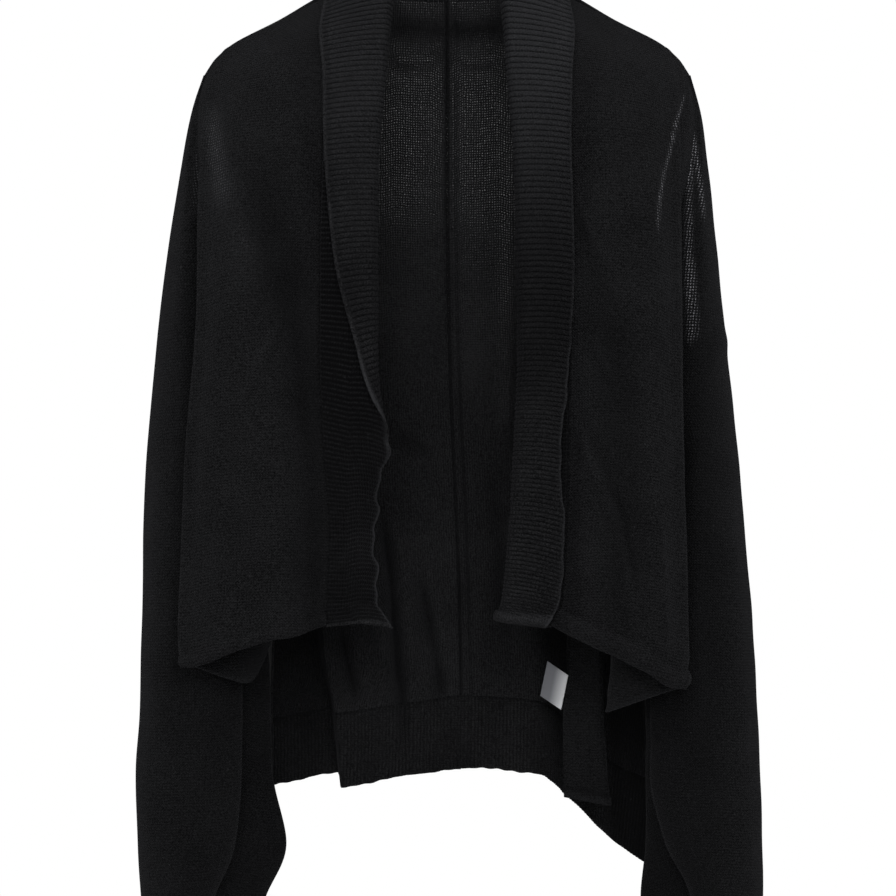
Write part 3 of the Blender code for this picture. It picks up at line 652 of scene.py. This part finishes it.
def sleeve_sheet(side):
    """A sleeve, smoothed through its sections round from edge to edge, with its folds."""
    front, back, sleeve = front_net(side), back_net(side), sleeve_net(side)
    before = guide(sleeve, front[:, BEND], sleeve[:, REAR_FOLD])
    after = guide(sleeve, back[:, NEAR_EDGE], sleeve[:, FORE_FOLD])
    grid, down = sheet_grid(sleeve, SLEEVE_STEP, before=before, after=after)
    along_armhole(grid, down, 0, side, "x_sleeve", "y_front")
    along_armhole(grid, down, -1, side, "x_sleeve", "y_back")
    across = walked(grid, 1)
    from_edge = np.minimum(across, across[:, -1:] - across)
    height = fold_height(grid, SLEEVE_FOLDS[side]) + 1 * slow_waves(grid, 70, 3 + side)
    return grid + outward(grid, -1) * (height * ramp(from_edge, 0, 20))[..., None]


def rib_crest(length, side):
    """How high the band's ribs stand, from 0 in a groove to 1 on a crest, at a length up from the hem. The
    count of ribs is the running sum of length over the local pitch. A rib is the sine of half a turn a rib,
    with a faint furrow along its middle."""
    fine = np.arange(-60, 900, 0.5)
    pitch = np.interp(fine, *np.array(BAND_RIB_PITCH[side], float).T)
    count = np.interp(length, fine, np.cumsum(0.5 / pitch))
    wave = np.abs(np.sin(count * pi))
    return wave - 0.14 * bell(1 - wave, 0.05)


def band_sheet(side):
    """A band, its painted shade and its nap: straight from its seam to the turn, half a circle, then back over
    itself, with ribs across it. Its free edge waves and ends in a rounded bead. The painted shade lies in the
    ribs' furrows, whose purl stitches are darker too, under the turned part, over the lower half and the
    middle, and on the turn; the nap is pale fibre and painted highlight on the free edge, the rolled hem and
    the rib crests toward the neck."""
    rows = [(*row[:3], *band) for row, band in zip(reversed(FRONT[side]), BAND[side])]
    table = np.array(rows + [(*row[:3], *row.band) for row in NECK_BAND], float)
    at, neck = even_rows(table[:, None, :3], BAND_STEP), len(FRONT[side]) - 1
    beside_front, round_neck = at[at <= neck], at[at > neck] - neck
    seam = np.concatenate([smooth(table[:neck + 1, :3], beside_front), smooth(table[neck:, :3], round_neck)])
    table = smooth(table, at)
    under, width, bow, spread = (table[:, [i]] for i in range(3, 7))
    to_turn = table[:, 7:10] / np.linalg.norm(table[:, 7:10], axis=1, keepdims=True)
    face = table[:, 10:13] - to_turn * np.sum(table[:, 10:13] * to_turn, axis=1, keepdims=True)
    face /= np.linalg.norm(face, axis=1, keepdims=True)
    up = walked(seam)[:, None]
    edge = BAND_EDGE[side]
    wavy = 0.6 * np.sin(up * tau / 47 + 2) + 0.4 * np.sin(up * tau / 23 + 1.3)
    wavy += 0.08 * np.sin(up * tau / 11.7)
    wavy *= ramp(up, edge.wave_from, edge.wave_from + 8) * ramp(-up, -edge.wave_to, -edge.wave_to + 30)
    share = np.linspace(0, 1, BAND_COLUMNS - 3)
    share = np.concatenate([share[:-1], np.linspace(share[-2], 1, 6)[1:]])
    s = share * width + edge.wave * wavy * ramp(share, 0.5, 1)
    s[:, 0] -= NECK_OVERLAP * ramp(at - neck, -0.1, 0.3)
    radius = BAND_TURN_RADIUS
    angle = np.clip((s - under) / radius, 0, pi)
    past = np.clip(s - under - pi * radius, 0, None)
    left_over = np.clip(width - under - pi * radius, 1, None)
    along = np.minimum(s, under) + radius * np.sin(angle) - past
    off = radius * (1 - np.cos(angle)) + spread * past / left_over - bow * share**2
    grid = seam[:, None] + to_turn[:, None] * along[..., None] + face[:, None] * off[..., None]
    grid[..., 2] += edge.rise * ramp(-up, -26, 0) * (1 - np.abs(2 * share - 1))
    slanted = up + edge.slant * bell(up - edge.slant_at, 80) * s
    slanted += BAND_ARCH * np.clip((share - 0.7) / 0.3, -1, 1) ** 2
    ribbed = ramp(up, 0.6 * edge.roll_width, edge.roll_width)
    crest = rib_crest(slanted, side)
    hem = edge.roll * np.clip(1 - (2 * up / edge.roll_width - 1) ** 2, 0, 1) ** 0.5
    at_edge = bell(width * (1 - share) - 0.5 * edge.bead, edge.bead)
    height = BAND_RIB_HEIGHT * (crest - 0.5) * ribbed * (1 - at_edge) + hem + edge.bead * at_edge
    # Painted shade under the turned part, over the lower half and the middle of the band, and on the turn
    below_turn = 0.06 * ramp(under - s, 0, 12)
    pressed = 0.05 * ramp(-up, -420, -200) + edge.pressed * bell(up - 270, 110)
    at_turn = bell(s - under - 0.5 * pi * radius, 4)
    groove = ((1 - crest) * ribbed + below_turn + pressed + TURN_SHADE * at_turn) * (1 - at_edge)
    # Painted highlight with some pale nap: on the free edge's bead, most on its lower part, on the rolled hem and
    # on the rib crests toward the neck
    hanging = edge.edge_nap * ramp(-up, -240, -190)
    nap = (0.03 + hanging) * at_edge + edge.top_nap * crest**2 * ramp(up, 260, 520)
    nap += 0.05 * edge.roll * bell(up - 0.5 * edge.roll_width, 0.4 * edge.roll_width)
    return grid + outward(grid, 1) * height[..., None], groove, np.clip(nap * (1 - at_turn), 0, 1)


def pleat_sheet():
    """The side pleat with painted shade in the crease of its hem's stitch line, and pale nap and painted
    highlight on the two edges of its double hem: its front layer outward, round a half circle and back behind
    itself, with a hem that is turned up at the bottom."""
    table = smooth(np.array(PLEAT, float), np.linspace(0, len(PLEAT) - 1, 90))
    z_in, x_in, z_out, x_out, y = (table[:, [i]] for i in range(5))
    radius = PLEAT_TURN / 2
    front = np.linspace(0, 1, 14)
    turn = np.radians(np.linspace(-75, 75, 7))
    back = np.linspace(0, 1, 12)
    layers = [
        (x_in + front * (x_out - radius - x_in), y + 4 * (1 - front)),
        (x_out - radius + radius * np.cos(turn), y + radius + radius * np.sin(turn)),
        (x_out - radius - back * PLEAT_BACK_WIDTH, y + 2 * radius + 6 * back),
    ]
    x, y = (np.concatenate(parts, axis=1) for parts in zip(*layers))
    z = z_in + (z_out - z_in) * np.clip((x - x_in) / (x_out - x_in), 0, 1)
    grid = np.stack([x, y, z], axis=-1)
    from_hem = walked(grid[::-1])[::-1]
    hem = 1.1 * ramp(-from_hem, -PLEAT_HEM, -PLEAT_HEM + 2) - 0.9 * bell(from_hem - PLEAT_HEM, 1.2)
    # Painted shade in the crease at the hem's stitch line, and painted highlight with pale nap on the two edges
    # of the double hem
    groove = 0.7 * bell(from_hem - PLEAT_HEM, 1.3)
    nap = 0.16 * (bell(from_hem - 1.5, 2) + 0.7 * bell(from_hem - 7.5, 1.2))
    return grid + outward(grid, -1) * (hem + 0.7 * slow_waves(grid, 40, 2))[..., None], groove, nap


def label_sheet():
    """The blank care label: a flat quadrilateral of ribbon with a slight curl, highest at its middle."""
    top_right, top_left, low_left, low_right = np.array(LABEL_CORNERS, float)
    u = np.linspace(0, 1, 20)[None, :, None]
    v = np.linspace(0, 1, 28)[:, None, None]
    flat = (1 - v) * ((1 - u) * top_left + u * top_right) + v * ((1 - u) * low_left + u * low_right)
    curl = LABEL_Y + 1.6 * np.sin(v * pi) * (1 - u) - 1 * (1 - u) * v
    return np.concatenate([flat[..., :1], curl, flat[..., 1:]], axis=-1)


def fill(target, inputs):
    """Links a node's inputs to sockets or sets them to values."""
    for key, value in inputs.items():
        if isinstance(value, bpy.types.NodeSocket):
            target.id_data.links.new(value, target.inputs[key])
        else:
            target.inputs[key].default_value = value


def node(tree, kind, inputs=None, **settings):
    """A shader node with its settings and inputs."""
    result = tree.nodes.new("ShaderNode" + kind)
    for key, value in settings.items():
        setattr(result, key, value)
    fill(result, inputs or {})
    return result


def maths(tree, operation, *values):
    """The result of a Math node."""
    return node(tree, "Math", dict(enumerate(values)), operation=operation).outputs[0]


def mix(tree, factor, a, b):
    """Colour a turned into colour b by a factor."""
    return node(tree, "Mix", {"Factor": factor, "A": a, "B": b}, data_type="RGBA").outputs["Result"]


def noise(tree, place, scale, detail, **more):
    """The value of a noise texture."""
    return node(tree, "TexNoise", {"Vector": place, "Scale": scale, "Detail": detail, **more}).outputs["Fac"]


def effect_group(name, inputs, outputs):
    """An empty node group with named sockets, its inputs and its end. An input is a vector if it has no
    default, a colour if that has four parts, or else a number. An output is a number, apart from Color."""
    group = bpy.data.node_groups.new(name, "ShaderNodeTree")
    for label, value in inputs.items():
        kind = "Vector" if value is None else "Color" if isinstance(value, tuple) else "Float"
        socket = group.interface.new_socket(label, in_out="INPUT", socket_type="NodeSocket" + kind)
        if value is not None:
            socket.default_value = value
    for label in outputs:
        kind = "Color" if label == "Color" else "Float"
        group.interface.new_socket(label, in_out="OUTPUT", socket_type="NodeSocket" + kind)
    return group, group.nodes.new("NodeGroupInput").outputs, group.nodes.new("NodeGroupOutput")


def knit_stitches_group():
    """Rows of stitches. Courses are rounded ridges along the cloth, their height the cosine of the distance
    down over the course pitch, waved once a stitch; wales are the same across. Gap is where both are low,
    and Chance is a number of its own for each stitch."""
    group, given, made = effect_group(
        "knit_stitches",
        {"UV": None, "Course pitch": 0.002, "Wale pitch": 0.002, "Course depth": 0.6, "Wale depth": 0.4},
        ["Height", "Gap", "Chance"])
    calc = partial(maths, group)
    stray = calc("MULTIPLY", calc("SUBTRACT", noise(group, given["UV"], 160.0, 4.0), 0.5), 0.0030)
    place = node(group, "SeparateXYZ", {"Vector": given["UV"]}).outputs
    u = calc("DIVIDE", calc("ADD", place["X"], stray), given["Wale pitch"])
    v = calc("DIVIDE", calc("ADD", place["Y"], stray), given["Course pitch"])
    wale = calc("COSINE", calc("MULTIPLY", u, tau))
    v = calc("ADD", v, calc("MULTIPLY", wale, 0.16))
    course = calc("COSINE", calc("MULTIPLY", v, tau))
    wale_up = calc("MULTIPLY_ADD", wale, 0.5, 0.5)
    course_up = calc("MULTIPLY_ADD", course, 0.5, 0.5)
    height = calc("ADD", calc("MULTIPLY", course_up, given["Course depth"]),
                  calc("MULTIPLY", wale_up, given["Wale depth"]))
    gap = calc("MULTIPLY", calc("SUBTRACT", 1.0, course_up), calc("SUBTRACT", 1.0, wale_up))
    stitch = node(group, "CombineXYZ", {"X": calc("FLOOR", u), "Y": calc("FLOOR", v)})
    chance = node(group, "TexWhiteNoise", {"Vector": stitch.outputs[0]}, noise_dimensions="2D")
    fill(made, {"Height": height, "Gap": calc("POWER", gap, 2.2), "Chance": chance.outputs["Value"]})
    return group


def fibre_group():
    """Loose fibres and yarn: Fuzz is fine noise about a millimetre across, Patch is slow noise of some
    centimetres, and Fleck picks out the few brightest fine spots."""
    group, given, made = effect_group("fibre", {"Place": None, "Fineness": 700.0}, ["Fuzz", "Patch", "Fleck"])
    place = given["Place"]
    fleck = node(group, "MapRange", {
        "Value": noise(group, place, 430.0, 1.0),
        "From Min": 0.74, "From Max": 0.80, "To Min": 0.0, "To Max": 1.0})
    fill(made, {
        "Fuzz": noise(group, place, given["Fineness"], 3.0, Roughness=0.7),
        "Patch": noise(group, place, 22.0, 3.0),
        "Fleck": fleck.outputs["Result"],
    })
    return group


def yarn_colour_group():
    """Colour of the yarn: Dark in the hollows and Light on the stitches and fuzz, with painted light of the Lit
    colour through the gaps where the cloth is thin, and the part of the cloth that is open there. Chance makes
    some stitches more open. Groove darkens: painted shade in the troughs of folds, in hollows, on sleeves and
    bands and in rib furrows, whose purl stitches are also darker, and the darker seam lines. Nap is pale fibre
    and painted highlight on lit edges, hems and rib crests, and painted light through thin places."""
    group, given, made = effect_group(
        "yarn_colour",
        {"Dark": (0.004, 0.004, 0.005, 1.0), "Light": (0.012, 0.012, 0.014, 1.0), "Height": 0.5, "Fuzz": 0.5,
         "Patch": 0.5, "Fleck": 0.0, "Gap": 0.0, "Chance": 0.5, "Thin": 0.0, "Groove": 0.0, "Nap": 0.0,
         "See through": 1.0},
        ["Color", "Open"])
    calc = partial(maths, group)
    level = calc("MULTIPLY_ADD", given["Patch"], 0.6, -1.65)
    level = calc("MULTIPLY_ADD", given["Fuzz"], 3.2, level)
    level = calc("MULTIPLY_ADD", given["Height"], 0.5, level)
    # Painted shade: Groove darkens the colour
    level = calc("MULTIPLY", level, calc("MULTIPLY_ADD", given["Groove"], -1.0, 1.0))
    colour = mix(group, level, given["Dark"], given["Light"])
    colour = mix(group, calc("MULTIPLY", given["Fleck"], 0.05), colour, FLECK_COLOUR)
    # Pale nap and painted highlight
    colour = mix(group, given["Nap"], colour, NAP_HIGHLIGHT_COLOUR)
    uneven = calc("MULTIPLY_ADD", calc("POWER", given["Chance"], 2.0), 0.6, 0.75)
    # Painted light: the colour turns toward the Lit colour where stretched stitches gap
    stretched = calc("MULTIPLY", given["Thin"], given["Gap"])
    lit = node(group, "Clamp", {"Value": calc("MULTIPLY", stretched, uneven)}).outputs[0]
    colour = mix(group, calc("MULTIPLY", lit, 0.9), colour, LIT_COLOUR)
    fill(made, {"Color": colour, "Open": calc("MULTIPLY", lit, given["See through"])})
    return group


def new_look(name):
    """A new material, its node tree and its shader."""
    look = bpy.data.materials.new(name)
    look.use_nodes = True
    return look, look.node_tree, look.node_tree.nodes["Principled BSDF"]


def cloth_look(name, groups, dark, light, pitch, depths, bump, see_through=0.0):
    """A knit: stitches over its own UV map, fuzz and patches of yarn, and painted light through the gaps where
    the piece is thin, which open as far as see_through says. pitch and depths are those of courses and wales."""
    look, tree, shader = new_look(name)
    uv = node(tree, "UVMap", uv_map="cloth").outputs["UV"]
    stitches = node(tree, "Group", {
        "UV": uv, "Course pitch": pitch[0], "Wale pitch": pitch[1], "Course depth": depths[0],
        "Wale depth": depths[1]}, node_tree=groups["stitches"]).outputs
    place = node(tree, "TexCoord").outputs["Object"]
    fibre = node(tree, "Group", {"Place": place}, node_tree=groups["fibre"]).outputs
    shade_and_light = {label: node(tree, "Attribute", attribute_name=label.lower()).outputs["Fac"]
            for label in ("Thin", "Groove", "Nap")}
    colour = node(tree, "Group", {
        "Dark": (*dark, 1.0), "Light": (*light, 1.0), "See through": see_through, **shade_and_light,
        **dict(stitches.items()), **dict(fibre.items())}, node_tree=groups["colour"]).outputs
    height = maths(tree, "MULTIPLY_ADD", fibre["Fuzz"], 0.5, stitches["Height"])
    bumped = node(tree, "Bump", {"Height": height, "Distance": bump * MM, "Strength": 1.0})
    fill(shader, {
        "Base Color": colour["Color"],
        "Normal": bumped.outputs["Normal"],
        "Alpha": maths(tree, "SUBTRACT", 1.0, colour["Open"]),
        "Roughness": 0.9,
        "Specular IOR Level": 0.06,
        "Sheen Weight": 0.05,
        "Sheen Roughness": 0.5,
        "Sheen Tint": (0.5, 0.5, 0.55, 1.0),
    })
    return look


def label_look(groups):
    """White ribbon with a very fine plain weave and no print, with painted shade that darkens it from its sewn
    end toward its free end, which curls back.
    """
    look, tree, shader = new_look("label_ribbon")
    uv = node(tree, "UVMap", uv_map="cloth").outputs["UV"]
    ribbon = node(tree, "Group", {
        "UV": uv, "Course pitch": 0.0005, "Wale pitch": 0.0005}, node_tree=groups["stitches"])
    weave = ribbon.outputs["Height"]
    across = node(tree, "SeparateXYZ", {"Vector": uv}).outputs["X"]
    # Painted shade: the ribbon darkens from its sewn end toward its curled free end
    painted_shading = maths(tree, "MULTIPLY_ADD", across, 80.0, maths(tree, "MULTIPLY_ADD", weave, 0.2, -0.8))
    shade = mix(tree, painted_shading, (0.19, 0.195, 0.215, 1.0), (0.84, 0.85, 0.87, 1.0))
    bumped = node(tree, "Bump", {"Height": weave, "Distance": 0.0001})
    fill(shader, {"Base Color": shade, "Normal": bumped.outputs["Normal"], "Roughness": 0.5})
    return look


def placed(name, data):
    """A new object in the scene."""
    result = bpy.data.objects.new(name, data)
    bpy.context.scene.collection.objects.link(result)
    return result


def cloth_piece(name, grid, side, look, turned, slot, solids=None, **shade_and_light):
    """A piece of cloth from its grid in millimetres: quads between neighbouring points, mirrored for the
    right side, with its thickness. The UV map is the length across and down in metres, so stitches keep
    their size, and starts elsewhere on the right side, so its stitches differ. The masks given by keyword say
    how thin each point is, for the painted light through its gaps, how much painted shade or seam line darkens
    it, and how much pale nap and painted highlight it has. The piece stands for the solid of the same name, or
    for the solids named."""
    rows, columns = grid.shape[:2]
    points = grid.reshape(-1, 3) * MM * np.array([side, 1.0, 1.0])
    index = np.arange(rows * columns).reshape(rows, columns)
    faces = np.stack([index[:-1, :-1], index[:-1, 1:], index[1:, 1:], index[1:, :-1]], axis=-1).reshape(-1, 4)
    if side * turned > 0:
        faces = faces[:, ::-1]
    mesh = bpy.data.meshes.new(name)
    mesh.from_pydata(points.tolist(), [], faces.tolist())
    across = walked(grid, 1) * MM + CLOTH_START[side]
    down = walked(grid) * MM - grid[:1, :, 2] * MM
    corners = np.empty(len(mesh.loops), dtype=np.int32)
    mesh.loops.foreach_get("vertex_index", corners)
    lengths = np.stack([across.ravel(), down.ravel()], axis=-1)[corners]
    mesh.uv_layers.new(name="cloth").data.foreach_set("uv", lengths.astype(np.float32).ravel())
    for label in ("thin", "groove", "nap"):
        value = (np.zeros(grid.shape[:2]) + shade_and_light.get(label, 0.0)).astype(np.float32)
        mesh.attributes.new(label, "FLOAT", "POINT").data.foreach_set("value", value.ravel())
    mesh.materials.append(look)
    mesh.shade_smooth()
    piece = placed(name + "_cloth", mesh)
    solid = piece.modifiers.new("Thickness", "SOLIDIFY")
    solid.thickness = WALL[slot] * MM
    solid.offset = 0.0
    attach(piece, "root")
    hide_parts(*(solids or [name]))


def build_garment():
    """All the pieces, left and right."""
    groups = {"stitches": knit_stitches_group(), "fibre": fibre_group(), "colour": yarn_colour_group()}
    plain = cloth_look("black_knit", groups, (0.0025, 0.0025, 0.0028), (0.0150, 0.0152, 0.0162),
                       (0.0024, 0.0024), (0.75, 0.25), 0.6)
    # The back's yarn is lighter than the plain knit's: partly the paler wale side of the knit, partly painted
    # light that makes up for the light that hardly reaches the back within the garment
    wale_side_and_painted_light = cloth_look("black_knit_wale_side_painted_light", groups, (0.0040, 0.0040, 0.0045), (0.0250, 0.0253, 0.0268),
                        (0.0021, 0.0021), (0.3, 0.7), 0.6, see_through=1.0)
    rib = cloth_look("black_band_rib", groups, (0.0022, 0.0022, 0.0025), (0.0240, 0.0242, 0.0258),
                     (0.0024, 0.0022), (0.3, 0.7), 0.5)
    hem_rib = cloth_look("black_hem_rib", groups, (0.0040, 0.0040, 0.0044), (0.0240, 0.0243, 0.0256),
                         (0.0020, 0.0030), (0.5, 0.2), 0.4)
    for side, end in ((LEFT, "_left"), (RIGHT, "_right")):
        grid, nap = front_sheet(side)
        thin = fold_height(grid, THIN_FRONT[side])
        # Painted shade at the bottom of the front's fold troughs
        shade = FRONT_RECESS_SHADE[side] * np.clip(-fold_height(grid, FRONT_FOLDS[side]) / FULL_RECESS, 0.0, 1.0)
        # A front's thin places get pale colour as painted light through the stretched cloth
        cloth_piece("front" + end, grid, side, plain, 1, "knit", thin=thin, groove=shade,
                    nap=nap + THIN_PATCH_LIGHT[side] * thin)
        grid = back_sheet(side)
        from_centre = np.abs(grid[..., 0] - grid[:, :1, 0])
        thin = fold_height(grid, THIN_BACK[side]) * ramp(from_centre, 1.5, 4.0)
        seam_line = 0.7 * bell(from_centre, 1.3)
        if side == LEFT:
            seam_line = seam_line + 0.6 * bell(from_centre - ALLOWANCE_WIDTH, 1.3)
        # Painted shade at the bottom of the back's folds, the troughs seen from the front
        shade = BACK_RECESS_SHADE * np.clip(fold_height(grid, BACK_FOLDS[side]) / FULL_RECESS, 0.0, 1.0)
        cloth_piece("back" + end, grid, side, wale_side_and_painted_light, -1, "knit", thin=thin,
                    groove=seam_line + shade + hollow_shade(grid, side))
        grid, groove = hem_rib_sheet(side)
        cloth_piece("hem_rib" + end, grid, side, hem_rib, -1, "hem_rib",
                    groove=groove + hollow_shade(grid, side))
        grid = sleeve_sheet(side)
        # Painted shade on the sleeve: a little over all of it, more on its inner part below the shoulder, where
        # the front shades it
        inner = ramp(-grid[..., 0], -240.0, -212.0)
        shade = 0.08 + SLEEVE_SHADE[side] * inner * ramp(-grid[..., 2], 200.0, 320.0)
        solids = ["sleeve_upper" + end, "sleeve_lower" + end]
        cloth_piece("sleeve" + end, grid, side, plain, 1, "knit", solids,
                    thin=fold_height(grid, THIN_SLEEVE[side]), groove=shade)
        grid, groove, nap = band_sheet(side)
        cloth_piece("band" + end, grid, side, rib, -1, "band_rib", groove=groove, nap=nap)
    grid, groove, nap = pleat_sheet()
    cloth_piece("side_pleat", grid, LEFT, plain, 1, "knit", groove=groove, nap=nap)
    cloth_piece("care_label", label_sheet(), LEFT, label_look(groups), 1, "label")


def build_stage():
    """A plain pale floor well below the garment, a white surround, four soft lights and the camera."""
    floor = bpy.data.meshes.new("floor")
    corners = [(x, y, FLOOR_Z) for x, y in ((-3, -3), (3, -3), (3, 3), (-3, 3))]
    floor.from_pydata(corners, [], [(0, 1, 2, 3)])
    paint, tree, shader = new_look("pale_floor")
    glow = maths(tree, "MULTIPLY", node(tree, "LightPath").outputs["Is Camera Ray"], FLOOR_GLOW)
    fill(shader, {
        "Base Color": (0.8, 0.8, 0.8, 1.0), "Roughness": 0.8, "Emission Color": WHITE,
        "Emission Strength": glow})
    floor.materials.append(paint)
    placed("floor", floor)

    world = bpy.data.worlds.new("studio")
    bpy.context.scene.world = world
    world.use_nodes = True
    tree = world.node_tree
    seen = node(tree, "LightPath").outputs["Is Camera Ray"]
    fill(tree.nodes["Background"], {
        "Color": WHITE, "Strength": maths(tree, "MULTIPLY_ADD", seen, 1.0 - SURROUND, SURROUND)})

    for name, place, size, power in LIGHTS:
        lamp = bpy.data.lights.new(name, "AREA")
        lamp.shape = "SQUARE"
        lamp.size = size
        lamp.energy = power
        soft = placed(name, lamp)
        soft.location = place
        soft.rotation_euler = (Vector(LIT_POINT) - soft.location).to_track_quat("-Z", "Y").to_euler()

    lens = bpy.data.cameras.new("camera")
    lens.sensor_width = 36.0
    lens.lens = FOCAL_LENGTH
    lens.shift_x = LENS_SHIFT
    camera = placed("camera", lens)
    camera.location = CAMERA_PLACE
    camera.rotation_euler = (pi / 2, 0.0, 0.0)
    bpy.context.scene.camera = camera
    bpy.context.scene.view_settings.view_transform = "Standard"


build_garment()
build_stage()
